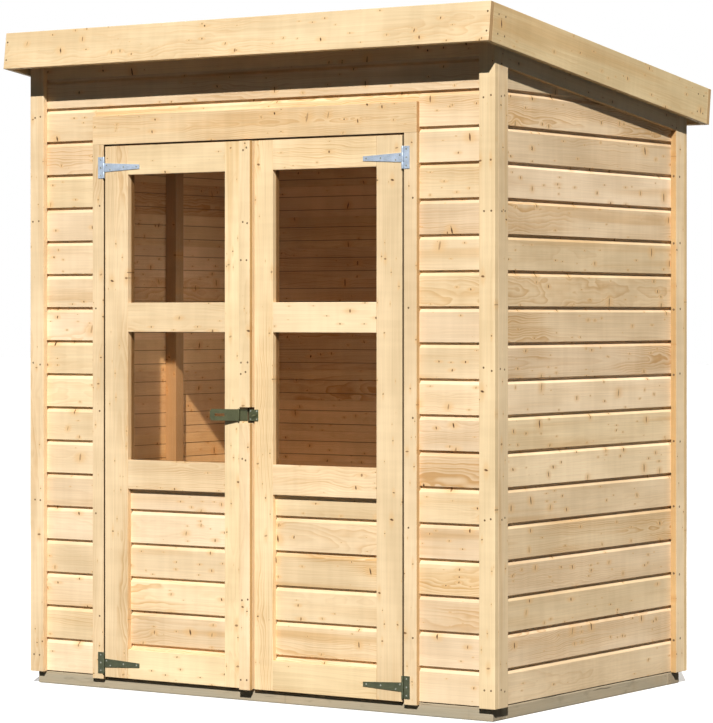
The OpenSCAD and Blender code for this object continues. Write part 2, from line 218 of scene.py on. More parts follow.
def drawn(t, source, kind):
    return t.calc("FRACT", t.times(source, drawSteps[kind]))


def mark(t, place, kind):
    along, across, *form = marks[kind]
    return t.cloud(t.scaled(place, (along, across, across)), 1.0, *form)


def ranged(t, source, kind):
    return t.ramp(source, *ranges[kind])


def knotLayer(t, u, v, look, ragged, spike):
    # distance from the nearest knot in its radii, the same for the stain along the grain, and its own draw
    cellU = t.times(u, look["along"])
    cellV = t.times(v, look["across"])
    cells, (drawA, drawB, drawC) = t.cells(t.vec(cellU, cellV, 0.0), 1.0, voronoi_dimensions="2D")
    spotU, spotV = t.split(cells["Position"])[:2]
    offU = t.over(t.minus(cellU, spotU), look["along"])
    offV = t.over(t.minus(cellV, spotV), look["across"])
    keep = t.calc("POWER", t.ramp(drawA, 1.0 - look["chance"], 1.0, kind="LINEAR"), look["power"])
    radius = t.mulAdd(keep, look["radius"], knotForm["least"])
    stretch = t.mulAdd(drawB, look["stretch"] * spike, 1.0)
    lean = t.times(t.minus(drawC, 0.5), knotForm["lean"])
    leanU = t.mulAdd(offV, lean, offU)
    slimV = t.over(offV, stretch)
    knot = t.calc("ADD", t.over(t.hypot(leanU, slimV), radius), ragged)
    longU = t.times(leanU, knotForm["stainLong"])
    stain = t.hypot(longU, t.times(slimV, knotForm["stainWide"]))
    return knot, t.over(stain, radius), drawC


def woodMaterial(name, changes=None):
    look = dict(spruce, **(changes or {}))
    material, t, shader = newMaterial(name)
    grain, shift = (t.attribute(key, "Vector") for key in ("grain", "shift"))
    tone, endGrain, sawn, grime = (t.attribute(key) for key in ("tone", "endGrain", "sawn", "grime"))
    moved = t.add("ShaderNodeVectorMath", {0: grain, 1: shift}, operation="ADD")
    u, v, w = t.split(grain)
    movedU, movedV = t.split(moved)[:2]
    drawX, drawY, drawZ = t.split(shift)

    # knots, large and small
    ragged = t.times(t.minus(t.cloud(moved, look["ragScale"]), 0.5), look["rag"])
    branch, branchStain, branchDraw = knotLayer(t, movedU, movedV, branchKnot, ragged, look["spike"])
    pin, pinStain = knotLayer(t, movedU, movedV, pinKnot, ragged, look["spike"])[:2]
    near = t.calc("MINIMUM", branch, pin)
    clear = t.times(ranged(t, sawn, "sawnClear"), ranged(t, branchDraw, "knotShare"))
    knot = t.times(ranged(t, near, "knot"), clear)
    heart = ranged(t, near, "heart")
    halo = ranged(t, t.calc("MINIMUM", branchStain, pinStain), "halo")

    # rings round a pith line that lies behind or beside the board
    slow = t.minus(mark(t, moved, "slow"), 0.5)
    quick = t.minus(mark(t, moved, "quick"), 0.5)
    patch = ranged(t, mark(t, moved, "patch"), "patch")
    quick = t.times(quick, patch)
    pithV = t.times(t.minus(drawn(t, drawY, "pithSide"), 0.5), look["pithSide"])
    pithW = t.mulAdd(drawn(t, drawZ, "pithBack"), look["pithBack"], look["pithLeast"])
    reach = t.hypot(t.minus(v, pithV), t.minus(w, pithW))
    for key, source in (("taper", u), ("bend", slow), ("swirl", quick), ("haloBend", halo)):
        reach = t.mulAdd(source, look[key], reach)
    year = t.over(reach, look["ring"])
    season = t.calc("FRACT", year)
    rise = t.calc("POWER", season, look["ringRise"])
    fall = t.times(t.minus(1.0, season), look["ringFall"])
    lateWood = t.calc("MINIMUM", rise, fall, clamp=True)
    width = t.add("ShaderNodeTexWhiteNoise", {"W": t.calc("FLOOR", year)}, noise_dimensions="1D")
    lateWood = t.times(lateWood, ranged(t, width.outputs["Value"], "ringShare"))

    # colour
    low, high = look["figureLow"], look["figureHigh"]
    figure = t.ramp(drawn(t, drawX, "figure"), low, 1.0, low * look["contrast"], high * look["contrast"])
    amount = t.times(patch, figure)
    colour = t.blend(t.times(lateWood, amount), look["early"], look["late"])
    colour = t.blend(t.times(amount, look["figureTint"]), colour, look["streak"])
    least = look["leastStreak"]
    streaky = t.ramp(drawn(t, drawY, "streaks"), least, 1.0, least, look["streaks"])
    streak = t.times(ranged(t, mark(t, moved, "band"), "band"), streaky)
    colour = t.blend(streak, colour, look["streak"])
    toneColour = t.blend(tone, look["pinkTone"], look["goldTone"])
    colour = t.blend(1.0, colour, toneColour, "MULTIPLY")
    shade = t.ramp(drawn(t, drawX, "level"), 0.0, 1.0, look["darkest"], look["palest"], "LINEAR")
    fibre = mark(t, moved, "fibre")
    blotch, ripple = mark(t, moved, "blotch"), mark(t, moved, "ripple")
    for source, kind in ((fibre, "fibre"), (blotch, "blotch"), (ripple, "ripple")):
        shade = t.times(shade, ranged(t, source, kind))
    green, blue = (t.calc("POWER", shade, look[key]) for key in ("warmGreen", "warmBlue"))
    colour = t.blend(1.0, colour, t.vec(shade, green, blue), "MULTIPLY")
    colour = t.blend(t.times(halo, look["haloShare"]), colour, look["halo"])
    inside = t.blend(ranged(t, branchDraw, "dead"), look["knotLive"], look["knotDead"])
    colour = t.blend(knot, colour, t.blend(heart, look["knotRim"], inside))
    # end grain darker; narrow sides darker, partly as sawn wood and partly as painted shade
    for share, tint in ((endGrain, look["endTone"]), (sawn, look["sawnAndShadeTone"])):
        colour = t.blend(share, colour, t.blend(1.0, colour, tint, "MULTIPLY"))
    if look["grey"]:
        # silvered by rain, with dirt and checks along the grain
        silver = ranged(t, mark(t, moved, "silver"), "silver")
        silverTone = t.blend(fibre, silverLook["dark"], silverLook["pale"])
        colour = t.blend(t.times(silver, look["grey"]), colour, silverTone)
        for kind in ("check", "dirt"):
            colour = t.blend(ranged(t, mark(t, moved, kind), kind), colour, silverLook[kind])
    # painted shade in gaps, grooves and behind the glass
    colour = t.blend(grime, colour, look["paintedShadeTone"])

    # sheen and relief
    smooth, rough = look["rough"] - look["smoother"], look["rough"] + look["rougher"]
    roughness = t.ramp(fibre, *ranges["sheen"], smooth, rough, "LINEAR")
    height = t.mulAdd(lateWood, look["ringHigh"], t.times(fibre, look["fibreHigh"]))
    height = t.minus(height, t.times(heart, look["heartLow"]))
    t.fill(shader, {
        "Base Color": colour, "Roughness": roughness, "Specular IOR Level": look["gloss"],
        "Normal": t.relief(height, look),
    })
    return material


boardWood = woodMaterial("spruceBoards", {
    "early": (0.945, 0.755, 0.545), "contrast": 0.80, "darkest": 0.86, "palest": 1.055, "haloShare": 0.60,
})
trimWood = woodMaterial("spruceTrim", {"early": (0.945, 0.755, 0.515), "contrast": 0.45, "spike": 0.3})
fasciaWood = woodMaterial("spruceFascia", {"early": (0.855, 0.685, 0.465), "contrast": 0.55})
frameWood = woodMaterial("spruceDoorFrame", {"early": (0.955, 0.76, 0.525), "contrast": 0.48, "spike": 0.35})
headerWood = woodMaterial("spruceHeader", {"early": (0.90, 0.70, 0.47), "contrast": 0.55})
innerWood = woodMaterial("spruceSawn", {"early": (0.80, 0.62, 0.41), "rough": 0.75, "bump": 0.4})
# darker than the boards, partly for rough sawn wood and partly as painted shade
shadedStudWood = woodMaterial("spruceStudsShaded", {
    "early": (0.55, 0.43, 0.29), "late": (0.42, 0.27, 0.14), "rough": 0.8, "bump": 0.4,
})
baseWood = woodMaterial("silveredBearers", {"grey": 0.95, "rough": 0.82, "bump": 0.6})
print("wood finishes ready")


# hinges and hasp: bright zinc that has gone dull and olive near the ground
zincLook = {
    "bright": (0.42, 0.49, 0.59), "dull": (0.064, 0.072, 0.036), "screw": (0.25, 0.26, 0.225),
    "hasp": (0.21, 0.185, 0.085), "haspDull": 0.86, "splashTop": 0.35, "splashLow": 0.12, "splash": 0.98,
    "metal": 0.7, "bump": 0.08, "bumpDeep": 0.0004, "mottle": (160.0, 3.0, 0.6), "smudge": 32.0,
    "spangle": 420.0, "tarnish": 0.3, "flakeShade": (0.0, 1.0, 0.9, 1.06, "LINEAR"),
    "smudgeShade": (0.3, 0.7, 0.86, 1.1), "rough": (0.2, 0.8, 0.36, 0.55, "LINEAR"),
}


def zincMaterial(name, bright, dullAll=0.0, splashed=True):
    look = zincLook
    material, t, shader = newMaterial(name)
    place = t.place()
    mottle = t.cloud(place, *look["mottle"])
    flake = t.cells(place, look["spangle"])[1][0]
    tarnish = t.mulAdd(t.minus(mottle, 0.5), look["tarnish"], dullAll, clamp=True)
    if splashed:
        splash = t.ramp(t.split(place)[2], look["splashTop"], look["splashLow"])
        tarnish = t.calc("MAXIMUM", tarnish, t.times(splash, look["splash"]))
    colour = t.blend(tarnish, bright, look["dull"])
    shade = t.ramp(flake, *look["flakeShade"])
    shade = t.times(shade, t.ramp(t.cloud(place, look["smudge"]), *look["smudgeShade"]))
    colour = t.blend(1.0, colour, t.vec(shade, shade, shade), "MULTIPLY")
    t.fill(shader, {
        "Base Color": colour, "Roughness": t.ramp(mottle, *look["rough"]), "Metallic": look["metal"],
        "Normal": t.relief(mottle, look),
    })
    return material


hingeZinc = zincMaterial("zincHinges", zincLook["bright"])
haspZinc = zincMaterial("zincHasp", zincLook["hasp"], zincLook["haspDull"])
screwZinc = zincMaterial("zincScrews", zincLook["screw"], splashed=False)

# nail heads, sunk a little and browned
nailLook = {
    "steel": (0.21, 0.135, 0.070), "rust": (0.13, 0.072, 0.034), "rustScale": 300.0, "gloss": 0.1,
    "roughScale": 500.0, "rough": (0.3, 0.7, 0.45, 0.7),
}
nailSteel, t, shader = newMaterial("nailSteel")
place = t.place()
colour = t.blend(t.cloud(place, nailLook["rustScale"]), nailLook["steel"], nailLook["rust"])
roughness = t.ramp(t.cloud(place, nailLook["roughScale"]), *nailLook["rough"])
t.fill(shader, {"Base Color": colour, "Roughness": roughness, "Specular IOR Level": nailLook["gloss"]})

# window panes: bronze-tinted, faintly smeared
glassLook = {
    "tint": (0.945, 0.865, 0.775), "body": (0.060, 0.036, 0.018), "film": (0.40, 0.80, 0.035, 0.085),
    "smearScale": (5.0, 5.0, 2.2), "smear": (1.0, 4.0, 0.6), "rough": (0.35, 0.75, 0.02, 0.12),
}
paneGlass, t, shader = newMaterial("windowGlass")
smear = t.cloud(t.scaled(t.place(), glassLook["smearScale"]), *glassLook["smear"])
t.fill(shader, {"Base Color": rgba(glassLook["body"]), "Roughness": t.ramp(smear, *glassLook["rough"])})
clear = t.add("ShaderNodeBsdfTransparent", {0: rgba(glassLook["tint"])})
pane = t.add("ShaderNodeMixShader", {0: t.ramp(smear, *glassLook["film"]), 1: clear, 2: shader})
t.finish("Material", pane)

# roofing felt with mineral chippings
feltLook = {
    "dark": (0.050, 0.052, 0.050), "pale": (0.17, 0.175, 0.165), "stain": (0.075, 0.078, 0.066),
    "stainScale": (3.0, 1.2, 1.0), "stainForm": (1.5, 4.0), "stainShare": (0.45, 0.75, 0.0, 0.5),
    "chipScale": 620.0, "chipPower": 2.2, "rough": (0.0, 1.0, 0.78, 0.95), "bump": 0.5, "bumpDeep": 0.0008,
}
roofFelt, t, shader = newMaterial("mineralFelt")
place = t.place()
chips, chipDraws = t.cells(place, feltLook["chipScale"])
chipDraw = chipDraws[0]
stain = t.cloud(t.scaled(place, feltLook["stainScale"]), *feltLook["stainForm"])
colour = t.blend(t.calc("POWER", chipDraw, feltLook["chipPower"]), feltLook["dark"], feltLook["pale"])
colour = t.blend(t.ramp(stain, *feltLook["stainShare"]), colour, feltLook["stain"])
height = t.minus(1.0, chips["Distance"])
t.fill(shader, {
    "Base Color": colour, "Roughness": t.ramp(chipDraw, *feltLook["rough"]),
    "Normal": t.relief(height, feltLook),
})
print("metal, glass and felt ready")


# sticks of timber are gathered in a pile, and a pile becomes one piece
axisX, axisY, axisZ = Vector((1, 0, 0)), Vector((0, 1, 0)), Vector((0, 0, 1))
axes = {"x": axisX, "y": axisY, "z": axisZ}
# edge is how far the narrow sides darken, partly as raw sawn wood and partly as painted shade; square how
# well a face has to line up to count as a side or an end
timber = {
    "ease": 0.0015, "edge": 0.4, "square": 0.85, "logSpan": 40.0, "near": 0.0002, "leastShade": 0.25,
    "sharp": 0.5, "weld": 1e-6, "roundSteps": 2, "roundForm": 0.6, "seed": 4173,
}
draws = random.Random(timber["seed"])
# what the finishes read: kind and where it is kept
layers = {
    "grain": ("FLOAT_VECTOR", "POINT"), "shift": ("FLOAT_VECTOR", "POINT"), "tone": ("FLOAT", "POINT"),
    "grime": ("FLOAT", "POINT"), "endGrain": ("FLOAT", "FACE"), "sawn": ("FLOAT", "FACE"),
}


def newPile():
    return {key: [] for key in ("verts", "faces", *layers)}


def addStick(pile, bm, along, across, centre, turn, cuts, edge):
    # one stick into the pile, with its own place in the log
    bmesh.ops.recalc_face_normals(bm, faces=bm.faces)
    layer = bm.verts.layers.float_vector.new("grain")
    through = along.cross(across)
    for vert in bm.verts:
        off = vert.co - centre
        vert[layer] = (off.dot(along), off.dot(across), off.dot(through))
    if turn is not None:
        bmesh.ops.transform(bm, matrix=turn, verts=bm.verts)
        along, across = turn.to_3x3() @ along, turn.to_3x3() @ across
    for point, normal in cuts:
        trim(bm, point, normal)
    bm.verts.index_update()
    bm.normal_update()
    start = len(pile["verts"])
    shift = [draws.uniform(-timber["logSpan"], timber["logSpan"]) for n in range(3)]
    tone = draws.random()
    for vert in bm.verts:
        pile["verts"].append(vert.co.copy())
        pile["grain"].append(vert[layer].copy())
        pile["shift"].append(shift)
        pile["tone"].append(tone)
        pile["grime"].append(0.0)
    for face in bm.faces:
        pile["faces"].append([start + vert.index for vert in face.verts])
        pile["endGrain"].append(1.0 if abs(face.normal.dot(along)) > timber["square"] else 0.0)
        pile["sawn"].append(edge if abs(face.normal.dot(across)) > timber["square"] else 0.0)
    bm.free()


def soil(pile, axis, level, amount, front=0.0, deep=None, behind=None):
    # paints shade on the faces that stand in a gap or groove: most at the front where a depth is given, or
    # only behind a plane
    for n, spot in enumerate(pile["verts"]):
        if abs(spot[axis] - level) < timber["near"] and (behind is None or spot.y > behind):
            share = 1.0
            if deep:
                share = min(1.0, max(timber["leastShade"], 1.0 - (spot.y - front) / deep))
            pile["grime"][n] = max(pile["grime"][n], amount * share)


def bisect(bm, point, normal, **settings):
    parts = bm.verts[:] + bm.edges[:] + bm.faces[:]
    return bmesh.ops.bisect_plane(bm, geom=parts, dist=timber["weld"], plane_co=point, plane_no=normal,
                                  **settings)


def trim(bm, point, normal):
    # cuts away what is on the normal's side and closes the cut
    done = bisect(bm, point, normal, clear_outer=True)
    edges = [part for part in done["geom_cut"] if isinstance(part, bmesh.types.BMEdge)]
    if edges:
        bmesh.ops.edgeloop_fill(bm, edges=edges)
        bmesh.ops.recalc_face_normals(bm, faces=bm.faces)


def easeEdges(bm, ease, loops):
    # rounds the sharp edges, then leaves a ring of edges at each plane
    if ease:
        least = timber["sharp"]
        sharp = [edge for edge in bm.edges if edge.is_manifold and edge.calc_face_angle(0.0) > least]
        bmesh.ops.bevel(bm, geom=sharp, offset=ease, segments=timber["roundSteps"],
                        profile=timber["roundForm"], affect="EDGES", clamp_overlap=True)
    for point, normal in loops:
        bisect(bm, point, normal)


def stick(pile, low, high, grain, ease=timber["ease"], turn=None, cuts=(), edge=timber["edge"], loops=()):
    # straight timber between two corners, grain names the axis of its length
    low, high = Vector(low), Vector(high)
    size = high - low
    bm = bmesh.new()
    place = Matrix.Translation((low + high) / 2) @ Matrix.Diagonal((*size, 1.0))
    bmesh.ops.create_cube(bm, size=1.0, matrix=place)
    easeEdges(bm, ease, loops)
    others = sorted((name for name in axes if name != grain), key=lambda name: -size["xyz".index(name)])
    addStick(pile, bm, axes[grain], axes[others[0]], (low + high) / 2, turn, cuts, edge)


def slab(pile, outline, axis, start, end, grain, ease=0.0, turn=None, cuts=(), across="z",
         edge=timber["edge"], loops=()):
    # outline in the two other axes, in their order, swept from start to end
    spots = {"x": (1, 2), "y": (0, 2), "z": (0, 1)}[axis]
    bm = bmesh.new()
    rings = ([], [])
    for ring, place in zip(rings, (start, end)):
        for pair in outline:
            co = [place] * 3
            co[spots[0]], co[spots[1]] = pair
            ring.append(bm.verts.new(co))
    near, far = rings
    bm.faces.new(near)
    bm.faces.new(far[::-1])
    for corners in zip(near, far, far[1:] + far[:1], near[1:] + near[:1]):
        bm.faces.new(corners)
    bmesh.ops.recalc_face_normals(bm, faces=bm.faces)
    easeEdges(bm, ease, loops)
    centre = sum((vert.co for vert in bm.verts), Vector()) / len(bm.verts)
    addStick(pile, bm, axes[grain], axes[across], centre, turn, cuts, edge)


def begin(node):
    return (*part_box(node), newPile())


def pileMesh(name, pile):
    mesh = bpy.data.meshes.new(name)
    mesh.from_pydata(pile["verts"], [], pile["faces"])
    for key, (kind, domain) in layers.items():
        data = mesh.attributes.new(key, kind, domain).data
        if kind == "FLOAT":
            data.foreach_set("value", pile[key])
        else:
            data.foreach_set("vector", [part for value in pile[key] for part in value])
    mesh.update()
    return mesh


def newObject(name, data):
    piece = bpy.data.objects.new(name, data)
    scene.collection.objects.link(piece)
    return piece


def settle(piece, body, slotName, *stoodFor):
    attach(piece, body)
    if stoodFor:
        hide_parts(*stoodFor)
    return piece


def timberPiece(name, pile, material, body, slotName, *stoodFor):
    mesh = pileMesh(name, pile)
    mesh.materials.append(material)
    return settle(newObject(name, mesh), body, slotName, *stoodFor)


def pieceName(node):
    first, *rest = node.split("_")
    return first + "".join(word.title() for word in rest)


def shedTimber(node, pile, material, slotName):
    return timberPiece(pieceName(node), pile, material, "shed", slotName, node)


def newGeometryTree(name, sockets):
    tree = bpy.data.node_groups.new(name, "GeometryNodeTree")
    tree.interface.new_socket(name="Geometry", in_out="INPUT", socket_type="NodeSocketGeometry")
    keys = {}
    for label, kind in sockets:
        socket = tree.interface.new_socket(name=label, in_out="INPUT", socket_type="NodeSocket" + kind)
        keys[label] = socket.identifier
    tree.interface.new_socket(name="Geometry", in_out="OUTPUT", socket_type="NodeSocketGeometry")
    sheet = Sheet(tree)
    sheet.keys = keys
    sheet.given = sheet.add("NodeGroupInput").outputs
    return sheet


# the tree that repeats a board along a wall, floor or roof
board = newGeometryTree("boardRun", [
    ("Count", "Int"), ("Step", "Vector"), ("Wander", "Vector"), ("Seed", "Int"), ("Finish", "Material"),
])
seedSteps = {"shift": 17.0, "tone": 31.0}
given = board.given
line = board.add("GeometryNodeMeshLine", {"Count": given["Count"], "Offset": given["Step"]}, mode="OFFSET")
laid = board.add("GeometryNodeInstanceOnPoints", {"Points": line, "Instance": given["Geometry"]})
back = board.scaled(given["Wander"], (-1, -1, -1))
sway = board.random("FLOAT_VECTOR", back, given["Wander"], given["Seed"])
moved = board.add("GeometryNodeTranslateInstances", {"Instances": laid, "Translation": sway})
span = timber["logSpan"]
for key, kind, low, high in (
    ("shift", "FLOAT_VECTOR", (-span,) * 3, (span,) * 3),
    ("tone", "FLOAT", 0.0, 1.0),
):
    seed = board.calc("ADD", given["Seed"], seedSteps[key])
    moved = board.store(moved, key, kind, board.random(kind, low, high, seed))
board.close(moved)


def runTree(piece, sheet, values):
    # sets the inputs, evaluates once and keeps a plain mesh
    modifier = piece.modifiers.new(sheet.tree.name, "NODES")
    modifier.node_group = sheet.tree
    for label, value in values.items():
        modifier[sheet.keys[label]] = value
    graph = bpy.context.evaluated_depsgraph_get()
    final = piece.evaluated_get(graph)
    mesh = bpy.data.meshes.new_from_object(final, preserve_all_data_layers=True, depsgraph=graph)
    piece.modifiers.clear()
    piece.data = mesh
    mesh.name = piece.name
    return piece


def boardRun(name, pile, count, step, seed, finish, wander=(0.0, 0.0, 0.0)):
    # the pile's one board, laid again and again; the tree gives each its own place in the log
    block = pileMesh(name, pile)
    for key in ("shift", "tone"):
        block.attributes.remove(block.attributes[key])
    values = {"Count": count, "Step": step, "Wander": wander, "Seed": seed, "Finish": finish}
    return runTree(newObject(name, block), board, values)


def trimPiece(piece, cuts):
    bm = bmesh.new()
    bm.from_mesh(piece.data)
    for point, normal in cuts:
        trim(bm, Vector(point), Vector(normal))
    bm.to_mesh(piece.data)
    bm.free()


# roof slope: y runs down it from the lower front edge of the fascia, z stands square on it
roof = {
    "pitch": 7.2, "frontEdge": (0.0, -0.720645, 2.062), "wide": 1.906, "long": 1.437329,
    "fasciaHigh": 0.122, "fasciaThick": 0.019, "deckRise": 0.094, "deckThick": 0.019, "ease": 0.0016,
    "purlinWide": 0.045, "purlinHigh": 0.070, "purlinEase": 0.002,
    "railHigh": 0.140, "railEase": 0.0005, "railEdge": 1.0,
}
slopeTurn = Matrix.Translation(roof["frontEdge"]) @ Matrix.Rotation(math.radians(-roof["pitch"]), 4, "X")
slopeUp = slopeTurn.to_3x3() @ axisZ
underDeck = (slopeTurn @ Vector((0, 0, roof["deckRise"])), slopeUp)

# tongued boards: square lower lip, then a shadow gap and a deep chamfer on the board below
cladding = {
    "pitch": 0.111, "thick": 0.019, "low": 0.040, "lipRise": 0.0034, "gap": 0.0080, "round": 0.0007,
    "chamferHigh": 0.0098, "chamferDeep": 0.0085, "tongueIn": 0.0090, "tongueOut": 0.0140,
    "tongueHigh": 0.007, "grooveRoom": 0.001, "innerGap": 0.0008, "slack": 0.0003, "wander": 0.00035,
    "kerfHigh": 0.0024, "kerfDeep": 0.0036, "kerfShade": 0.70, "kerfsAt": (0.073, 0.025), "near": 1e-5,
}


def boardOutline(height, kerf=True):
    # (depth into the wall, height above the lower joint)
    c = cladding
    lip, ledge = c["lipRise"], height + c["lipRise"] - c["gap"]
    top, half = height + c["tongueHigh"], c["innerGap"] / 2
    outline = [
        (0.0, lip + c["round"]), (0.0, ledge - c["chamferHigh"]),
        (c["chamferDeep"], ledge), (c["tongueIn"], ledge), (c["tongueIn"], top), (c["tongueOut"], top),
        (c["tongueOut"], height - half), (c["thick"], height - half),
    ]
    if kerf:
        for low in c["kerfsAt"]:
            high, deep = low + c["kerfHigh"], c["thick"] - c["kerfDeep"]
            outline += [(c["thick"], high), (deep, high), (deep, low), (c["thick"], low)]
    inner, outer = c["tongueOut"] + c["slack"], c["tongueIn"] - c["slack"]
    groove = c["tongueHigh"] + c["grooveRoom"]
    outline += [
        (c["thick"], half), (inner, half), (inner, groove), (outer, groove), (outer, lip), (c["round"], lip),
    ]
    return outline


def boardWall(name, node, place, long, count, seed, body="shed", cuts=(), kerf=True):
    # place turns one board to the wall: x along it, y into the wall, z up
    pile = newPile()
    slab(pile, boardOutline(cladding["pitch"], kerf), "x", 0.0, long, "x", turn=place)
    back = place.inverted()
    kerfFloor = cladding["thick"] - cladding["kerfDeep"]
    # painted shade on the floor of each kerf
    for n, spot in enumerate(pile["verts"]):
        if abs((back @ spot).y - kerfFloor) < cladding["near"]:
            pile["grime"][n] = cladding["kerfShade"]
    wander = tuple(cladding["wander"] * abs(part) for part in place.to_3x3() @ axisY)
    piece = boardRun(name, pile, count, (0.0, 0.0, cladding["pitch"]), seed, boardWood, wander)
    trimPiece(piece, cuts)
    return settle(piece, body, "boards", node)


def standing(x, y, z, turn=0.0):
    return Matrix.Translation((x, y, z)) @ Matrix.Rotation(math.radians(turn), 4, "Z")


# walls: node, turn of the board, count and seed
walls = {
    "frontBoardsLeft": ("front_wall_left", 0, 17, 11), "frontBoardsRight": ("front_wall_right", 0, 17, 23),
    "rightBoards": ("right_wall", 90, 20, 37), "leftBoards": ("left_wall", -90, 20, 41),
    "rearBoards": ("rear_wall", 180, 19, 53),
}
for name, (node, turn, count, seed) in walls.items():
    low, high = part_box(node)
    x = high.x if turn in (90, 180) else low.x
    y = high.y if turn in (-90, 180) else low.y
    long = high.y - low.y if abs(turn) == 90 else high.x - low.x
    cuts = [underDeck] if turn else []
    boardWall(name, node, standing(x, y, cladding["low"], turn), long, count, seed, cuts=cuts)

# boards over the doors: the rest of the course beside the header, one narrower board and the frieze
overDoor = {
    "headerTop": 1.898, "joint": 1.927, "friezeJoint": 2.025, "friezeHigh": 0.15, "wide": 0.6410,
    "middle": -0.01025,
}
o = overDoor
low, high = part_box("front_wall_over_door")
underHeader = (Vector((0, 0, o["headerTop"])), -axisZ)
pitch = cladding["pitch"]
courses = (
    (o["middle"] - o["wide"], 2 * o["wide"], o["joint"] - pitch, pitch, [underHeader]),
    (low.x, high.x - low.x, o["joint"], o["friezeJoint"] - o["joint"], []),
    (low.x, high.x - low.x, o["friezeJoint"], o["friezeHigh"], [underDeck]),
)
pile = newPile()
for start, long, bottom, height, cuts in courses:
    slab(pile, boardOutline(height), "x", 0.0, long, "x", turn=standing(start, low.y, bottom), cuts=cuts)
timberPiece("frontBoardsOverDoor", pile, boardWood, "shed", "boards", "front_wall_over_door")
print("cladding laid")

# corner boards: one faces the front or rear, the other laps behind it on the side
corner = {
    "wide": 0.057, "thick": 0.020, "ease": 0.0016, "low": 0.040, "high": 2.2, "edge": 0.1, "rearEdge": 1.0,
}
cornerNodes = ("corner_front_left", "corner_front_right", "corner_rear_left", "corner_rear_right")
for name in cornerNodes:
    low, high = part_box(name)
    c = corner
    atFront, atLeft = "front" in name, "left" in name
    x0 = low.x if atLeft else high.x - c["thick"]
    y0 = low.y if atFront else high.y - c["thick"]
    side = low.y + c["thick"] if atFront else low.y
    pile = newPile()
    stick(pile, (low.x, y0, c["low"]), (high.x, y0 + c["thick"], c["high"]), "z", c["ease"],
          cuts=[underDeck], edge=c["edge"])
    # the rear corners' side boards darken their narrow sides fully, partly as sawn wood and partly as painted
    # shade
    stick(pile, (x0, side, c["low"]), (x0 + c["thick"], side + c["wide"], c["high"]), "z", c["ease"],
          cuts=[underDeck], edge=c["edge"] if atFront else c["rearEdge"])
    shedTimber(name, pile, trimWood, "trim")

# studs inside the corners and in the middle of the side walls
stud = {"wide": 0.045, "low": 0.040, "high": 2.2, "ease": 0.002}
low, high, pile = begin("corner_studs")
for x in (low.x, high.x - stud["wide"]):
    for y in (low.y, high.y - stud["wide"]):
        stick(pile, (x, y, stud["low"]), (x + stud["wide"], y + stud["wide"], stud["high"]), "z",
              stud["ease"], cuts=[underDeck])
shedTimber("corner_studs", pile, shadedStudWood, "inner_timber")
low, high, pile = begin("side_studs")
for x in (low.x, high.x - stud["wide"]):
    stick(pile, (x, low.y, low.z), (x + stud["wide"], high.y, stud["high"]), "z",
          stud["ease"], cuts=[underDeck])
shedTimber("side_studs", pile, shadedStudWood, "inner_timber")

# base: silvered bearers and joists, boarded floor
base = {
    "ease": 0.003, "joistWide": 0.045, "joistCount": 3, "floorPitch": 0.107, "floorGap": 0.001,
    "floorEase": 0.0012, "floorSpare": 0.01, "floorSeed": 61,
}
for name in ("base_rear_bearer", "base_left_bearer", "base_right_bearer"):
    low, high, pile = begin(name)
    stick(pile, low, high, "x" if "rear" in name else "y", base["ease"])
    shedTimber(name, pile, baseWood, "weathered_base")

# the front bearer is cut down a little under the doors
frontCut = {"deep": 0.006, "from": -0.60425, "to": 0.58375, "back": 0.026, "lap": 0.004}
low, high, pile = begin("base_front_bearer")
seat = high.z - frontCut["deep"]
foot, back, ease = seat - frontCut["lap"], low.y + frontCut["back"], base["ease"] / 2
stick(pile, low, (high.x, high.y, seat), "x", base["ease"])
stick(pile, (low.x, back, foot), high, "x", ease)
for x0, x1 in ((low.x, frontCut["from"]), (frontCut["to"], high.x)):
    stick(pile, (x0, low.y, foot), (x1, back + frontCut["lap"], high.z), "x", ease)
shedTimber("base_front_bearer", pile, baseWood, "weathered_base")

low, high, pile = begin("floor_joists")
gapX = (high.x - low.x - base["joistWide"]) / (base["joistCount"] - 1)
for n in range(base["joistCount"]):
    x = low.x + n * gapX
    stick(pile, (x, low.y, low.z), (x + base["joistWide"], high.y, high.z), "y", base["ease"])
shedTimber("floor_joists", pile, baseWood, "weathered_base")

low, high, pile = begin("floor_boards")
stick(pile, low, (high.x, low.y + base["floorPitch"] - base["floorGap"], high.z), "x", base["floorEase"])
count = int((high.y - low.y) / base["floorPitch"] + base["floorSpare"])
piece = boardRun("floorBoards", pile, count, (0.0, base["floorPitch"], 0.0), base["floorSeed"], innerWood)
settle(piece, "shed", "inner_timber", "floor_boards")
print("corners, base and floor set")

# door frame: jambs with a planted stop, header over them
doorFrame = {
    "ease": 0.0015, "stopWide": 0.012, "boardFace": 0.016, "low": 0.040, "stopBack": 0.018,
    "stopEase": 0.001, "soil": 0.93, "soilDeep": 0.06, "jambEdge": 0.85, "leafEdge": 0.1,
}
f = doorFrame
for name in ("left_jamb", "right_jamb"):
    low, high, pile = begin(name)
    face = low.y + f["boardFace"]
    outline = [
        (low.y, low.z), (face, low.z), (face, f["low"]), (high.y, f["low"]),
        (high.y, high.z), (low.y, high.z),
    ]
    atLeft = name.startswith("left")
    x0, x1 = (low.x, high.x - f["stopWide"]) if atLeft else (low.x + f["stopWide"], high.x)
    # the jamb's side towards the leaf darkens as a narrow side, partly as painted shade in the gap
    slab(pile, outline, "x", x0, x1, "z", f["ease"], across="x", edge=f["jambEdge"])
    s0, s1 = (x1, high.x) if atLeft else (low.x, x0)
    stick(pile, (s0, high.y - f["stopBack"], f["low"]), (s1, high.y, high.z), "z", f["stopEase"])
    # painted shade on the jamb's face in the gap beside the leaf
    soil(pile, 0, x1 if atLeft else x0, f["soil"], low.y, f["soilDeep"])
    shedTimber(name, pile, frameWood, "door_frame")
low, high, pile = begin("door_header")
stick(pile, low, high, "x", f["ease"])
